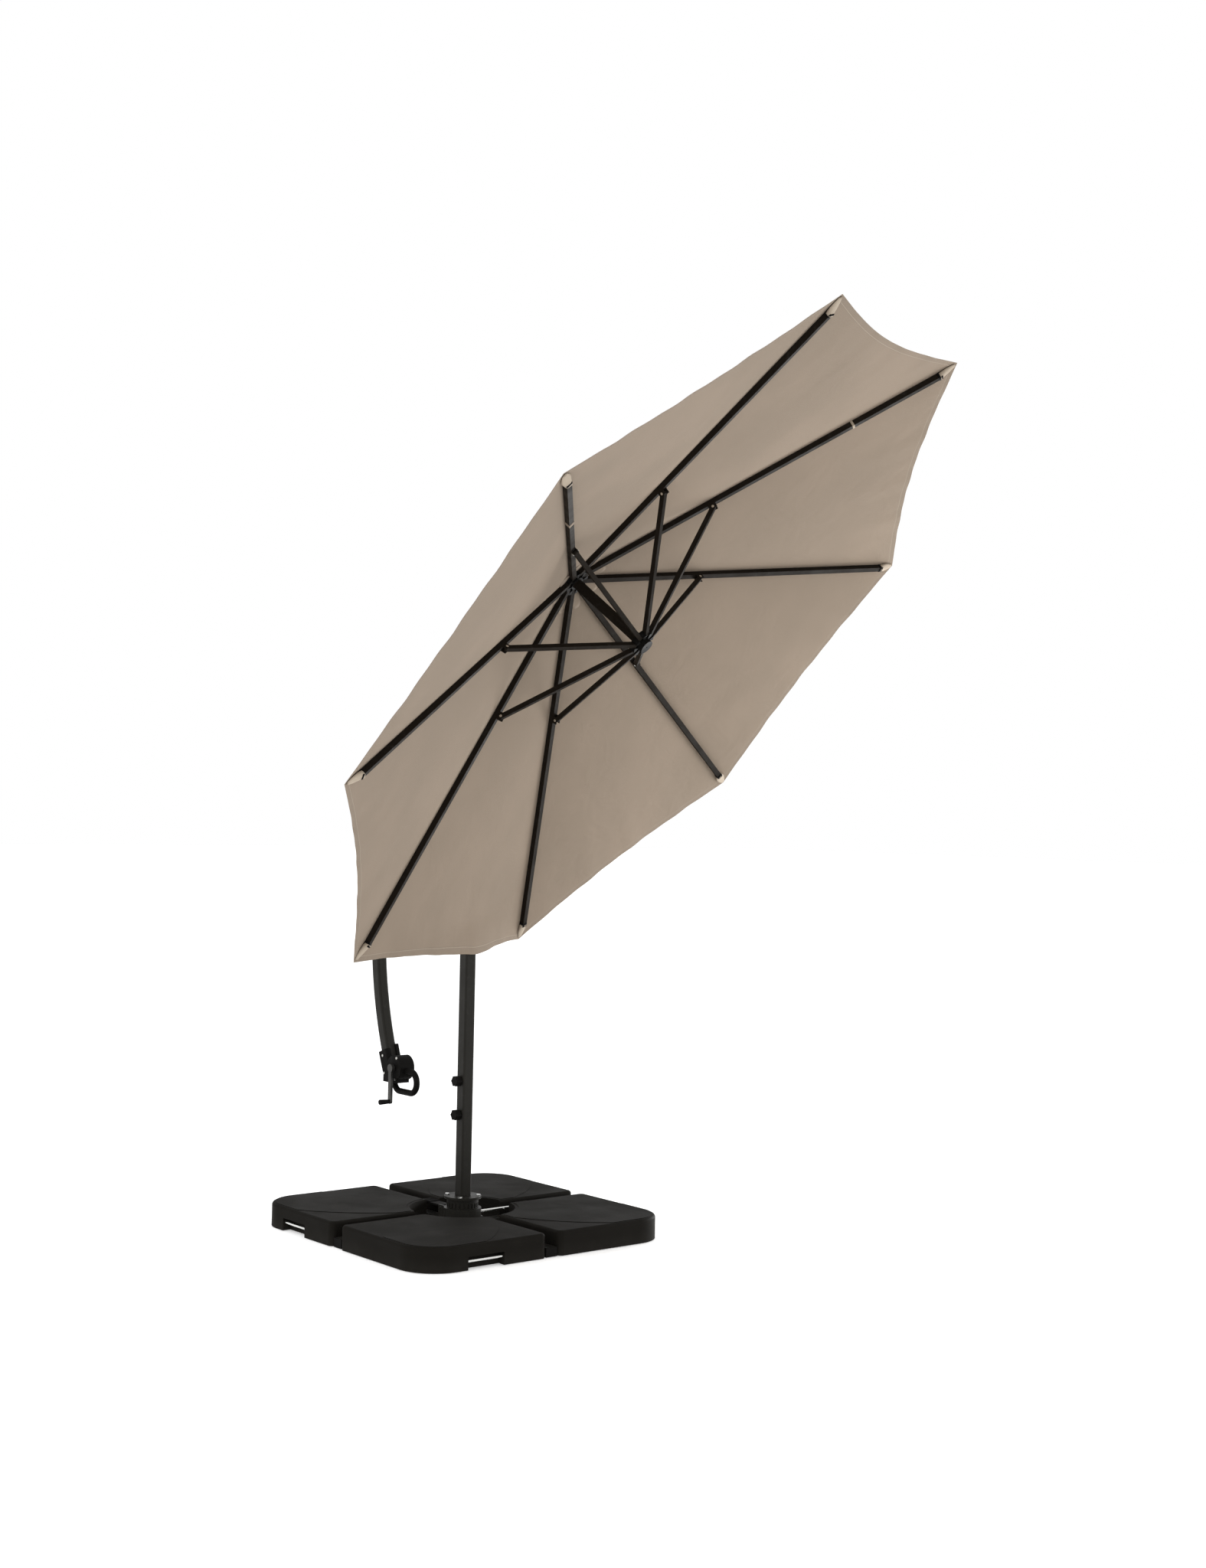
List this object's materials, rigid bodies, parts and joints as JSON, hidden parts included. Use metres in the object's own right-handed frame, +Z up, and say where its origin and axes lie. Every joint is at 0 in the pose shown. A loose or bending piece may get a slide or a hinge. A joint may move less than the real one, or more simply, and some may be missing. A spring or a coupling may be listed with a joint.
{
  "type": "cantilever patio umbrella with base",
  "caption": "Offset umbrella whose curved boom slides through a swivelling mast on a cross base with ballast plates and carries a tilting eight-sided canopy worked by a crank.",
  "frame": {"origin": "on the ground under the mast, where the two cross bars cross", "axes": "+Z up the mast, +X towards the canopy in the plane of the curved boom, +Y level across it"},
  "size_m": [2.3199, 2.5343, 2.9015],
  "materials": {
    "fabric": "matte",
    "frame_dark": "satin",
    "frame_aluminium": "satin",
    "plastic_dark": "matte",
    "bright_metal": "polished",
    "zinc": "satin",
    "concrete": "matte",
    "cord": "matte"
  },
  "bodies": {
    "base": {"cross_bar_a": "frame_dark", "cross_bar_b": "frame_dark", "cross_bar_caps": "plastic_dark", "base_plate_front": "plastic_dark", "base_plate_right": "plastic_dark", "base_plate_rear": "plastic_dark", "base_plate_left": "plastic_dark", "plate_cores": "concrete", "plate_handles": "bright_metal", "swivel_housing": "frame_dark", "base_fasteners": "bright_metal"},
    "pedal": {"foot_pedal": "plastic_dark"},
    "lock_rod": {"swivel_lock_rod": "bright_metal"},
    "mast": {"mast_foot": "frame_dark", "mast_lower_tube": "frame_dark", "mast_upper_tube": "frame_dark", "mast_head": "frame_aluminium", "mast_fasteners": "bright_metal"},
    "mast_knob_lower": {"mast_knob_lower": "plastic_dark"},
    "mast_knob_upper": {"mast_knob_upper": "plastic_dark"},
    "head_lock_knob": {"head_lock_knob": "plastic_dark"},
    "boom": {"boom_tube": "frame_aluminium", "tip_knuckle": "frame_aluminium", "tilt_retainer": "zinc", "housing_left": "plastic_dark", "housing_right": "plastic_dark", "housing_screws": "zinc", "loop_handle": "plastic_dark", "lift_cord": "cord"},
    "crank": {"winch_drum": "plastic_dark", "crank_arm": "zinc"},
    "crank_peg": {"crank_peg": "plastic_dark"},
    "canopy_hub": {"hanger": "frame_aluminium", "crown": "plastic_dark"},
    "runner": {"runner": "plastic_dark", "runner_tube": "frame_aluminium"},
    "rib_1": {"rib_1": "frame_aluminium", "canopy_panel_1": "fabric"},
    "strut_1": {"strut_1": "frame_aluminium"},
    "rib_2": {"rib_2": "frame_aluminium", "canopy_panel_2": "fabric"},
    "strut_2": {"strut_2": "frame_aluminium"},
    "rib_3": {"rib_3": "frame_aluminium", "canopy_panel_3": "fabric"},
    "strut_3": {"strut_3": "frame_aluminium"},
    "rib_4": {"rib_4": "frame_aluminium", "canopy_panel_4": "fabric"},
    "strut_4": {"strut_4": "frame_aluminium"},
    "rib_5": {"rib_5": "frame_aluminium", "canopy_panel_5": "fabric"},
    "strut_5": {"strut_5": "frame_aluminium"},
    "rib_6": {"rib_6": "frame_aluminium", "canopy_panel_6": "fabric"},
    "strut_6": {"strut_6": "frame_aluminium"},
    "rib_7": {"rib_7": "frame_aluminium", "canopy_panel_7": "fabric"},
    "strut_7": {"strut_7": "frame_aluminium"},
    "rib_8": {"rib_8": "frame_aluminium", "canopy_panel_8": "fabric"},
    "strut_8": {"strut_8": "frame_aluminium"}
  },
  "joints": [
    {"name": "mast_swivel", "type": "hinge", "parent": "base", "child": "mast", "pos_m": [0, 0, 0.1], "axis": [0, 0, 1], "continuous": true},
    {"name": "pedal_press", "type": "hinge", "parent": "base", "child": "pedal", "pos_m": [-0.096, 0, 0.066], "axis": [0, -1, 0], "range_deg": [0, 8], "stiffness_Nm_per_rad": 8, "springref_deg": -2.86},
    {"name": "swivel_lock_turn", "type": "hinge", "parent": "base", "child": "lock_rod", "pos_m": [0, 0.1, 0.058], "axis": [0, 1, 0], "range_deg": [-90, 90]},
    {"name": "mast_knob_lower_turn", "type": "hinge", "parent": "mast", "child": "mast_knob_lower", "pos_m": [0, -0.0225, 0.396], "axis": [0, -1, 0], "range_deg": [-360, 360]},
    {"name": "mast_knob_upper_turn", "type": "hinge", "parent": "mast", "child": "mast_knob_upper", "pos_m": [0, -0.0225, 0.511], "axis": [0, -1, 0], "range_deg": [-360, 360]},
    {"name": "head_lock_turn", "type": "hinge", "parent": "mast", "child": "head_lock_knob", "pos_m": [-0.00034, -0.03, 2.02869], "axis": [0, -1, 0], "range_deg": [-360, 360]},
    {"name": "boom_slide", "type": "hinge", "parent": "mast", "child": "boom", "pos_m": [0.667, 0, 1.005], "axis": [0, 1, 0], "range_deg": [0, 46.2]},
    {"name": "canopy_tilt", "type": "hinge", "parent": "boom", "child": "canopy_hub", "pos_m": [0.46985, 0, 2.22802], "axis": [0.9198, 0, 0.3923], "range_deg": [-20.3, 0]},
    {"name": "rib_1_fold", "type": "hinge", "parent": "canopy_hub", "child": "rib_1", "pos_m": [0.54268, 0.01763, 2.207], "axis": [-0.1355, 0.9385, 0.3176], "range_deg": [0, 68], "deforming": ["canopy_panel_1"]},
    {"name": "rib_2_fold", "type": "hinge", "parent": "canopy_hub", "child": "rib_2", "pos_m": [0.53243, 0.04154, 2.20767], "axis": [-0.5919, 0.7594, -0.2701], "range_deg": [0, 68.1], "deforming": ["canopy_panel_2"]},
    {"name": "rib_3_fold", "type": "hinge", "parent": "canopy_hub", "child": "rib_3", "pos_m": [0.51422, 0.05414, 2.19401], "axis": [-0.7016, 0.1355, -0.6996], "range_deg": [0, 68.1], "deforming": ["canopy_panel_3"]},
    {"name": "rib_4_fold", "type": "hinge", "parent": "canopy_hub", "child": "rib_4", "pos_m": [0.4987, 0.04805, 2.17403], "axis": [-0.4003, -0.5678, -0.7193], "range_deg": [0, 68.1], "deforming": ["canopy_panel_4"]},
    {"name": "rib_5_fold", "type": "hinge", "parent": "canopy_hub", "child": "rib_5", "pos_m": [0.49497, 0.02684, 2.15943], "axis": [0.1355, -0.9385, -0.3176], "range_deg": [0, 68.1], "deforming": ["canopy_panel_5"]},
    {"name": "rib_6_fold", "type": "hinge", "parent": "canopy_hub", "child": "rib_6", "pos_m": [0.50521, 0.00293, 2.15876], "axis": [0.5919, -0.7594, 0.2701], "range_deg": [0, 68.1], "deforming": ["canopy_panel_6"]},
    {"name": "rib_7_fold", "type": "hinge", "parent": "canopy_hub", "child": "rib_7", "pos_m": [0.52343, -0.00968, 2.17241], "axis": [0.7016, -0.1355, 0.6996], "range_deg": [0, 68.1], "deforming": ["canopy_panel_7"]},
    {"name": "rib_8_fold", "type": "hinge", "parent": "canopy_hub", "child": "rib_8", "pos_m": [0.53895, -0.00359, 2.19239], "axis": [0.4003, 0.5678, 0.7193], "range_deg": [0, 68.1], "deforming": ["canopy_panel_8"]},
    {"name": "strut_1_swing", "type": "hinge", "parent": "rib_1", "child": "strut_1", "pos_m": [0.96659, 0.00699, 2.41924], "axis": [-0.1355, 0.9385, 0.3176], "range_deg": [-136.2, 0]},
    {"name": "strut_2_swing", "type": "hinge", "parent": "rib_2", "child": "strut_2", "pos_m": [0.82157, 0.34552, 2.42872], "axis": [-0.5919, 0.7594, -0.2701], "range_deg": [-136.2, 0]},
    {"name": "strut_3_swing", "type": "hinge", "parent": "rib_3", "child": "strut_3", "pos_m": [0.56367, 0.52394, 2.23539], "axis": [-0.7016, 0.1355, -0.6996], "range_deg": [-136.2, 0]},
    {"name": "strut_4_swing", "type": "hinge", "parent": "rib_4", "child": "strut_4", "pos_m": [0.34397, 0.43774, 1.95251], "axis": [-0.4003, -0.5678, -0.7193], "range_deg": [-136.2, 0]},
    {"name": "strut_5_swing", "type": "hinge", "parent": "rib_5", "child": "strut_5", "pos_m": [0.29116, 0.13741, 1.74578], "axis": [0.1355, -0.9385, -0.3176], "range_deg": [-136.2, 0]},
    {"name": "strut_6_swing", "type": "hinge", "parent": "rib_6", "child": "strut_6", "pos_m": [0.43619, -0.20112, 1.7363], "axis": [0.5919, -0.7594, 0.2701], "range_deg": [-136.2, 0]},
    {"name": "strut_7_swing", "type": "hinge", "parent": "rib_7", "child": "strut_7", "pos_m": [0.69409, -0.37954, 1.92963], "axis": [0.7016, -0.1355, 0.6996], "range_deg": [-136.2, 0]},
    {"name": "strut_8_swing", "type": "hinge", "parent": "rib_8", "child": "strut_8", "pos_m": [0.91379, -0.29334, 2.21251], "axis": [0.4003, 0.5678, 0.7193], "range_deg": [-136.2, 0]},
    {"name": "runner_slide", "type": "slide", "parent": "canopy_hub", "child": "runner", "axis": [0.6996, 0.3176, -0.6401], "range_m": [0, 0.6348]},
    {"name": "crank_turn", "type": "hinge", "parent": "boom", "child": "crank", "pos_m": [-0.397, 0, 0.512], "axis": [0, -1, 0], "range_deg": [0, 2080.8]},
    {"name": "crank_peg_spin", "type": "hinge", "parent": "crank", "child": "crank_peg", "pos_m": [-0.397, -0.05, 0.394], "axis": [0, -1, 0], "continuous": true}
  ],
  "couplings": [
    {"joint": "canopy_tilt", "follows": "boom_slide", "ratio": -0.43723},
    {"joint": "rib_2_fold", "follows": "rib_1_fold", "ratio": 1},
    {"joint": "rib_3_fold", "follows": "rib_1_fold", "ratio": 1},
    {"joint": "rib_4_fold", "follows": "rib_1_fold", "ratio": 1},
    {"joint": "rib_5_fold", "follows": "rib_1_fold", "ratio": 1},
    {"joint": "rib_6_fold", "follows": "rib_1_fold", "ratio": 1},
    {"joint": "rib_7_fold", "follows": "rib_1_fold", "ratio": 1},
    {"joint": "rib_8_fold", "follows": "rib_1_fold", "ratio": 1},
    {"joint": "strut_1_swing", "follows": "rib_1_fold", "ratio": -2},
    {"joint": "strut_2_swing", "follows": "rib_1_fold", "ratio": -2},
    {"joint": "strut_3_swing", "follows": "rib_1_fold", "ratio": -2},
    {"joint": "strut_4_swing", "follows": "rib_1_fold", "ratio": -2},
    {"joint": "strut_5_swing", "follows": "rib_1_fold", "ratio": -2},
    {"joint": "strut_6_swing", "follows": "rib_1_fold", "ratio": -2},
    {"joint": "strut_7_swing", "follows": "rib_1_fold", "ratio": -2},
    {"joint": "strut_8_swing", "follows": "rib_1_fold", "ratio": -2},
    {"joint": "runner_slide", "follows": "rib_1_fold", "m_per_rad": 0.53316},
    {"joint": "crank_turn", "follows": "rib_1_fold", "ratio": 30.57}
  ]
}
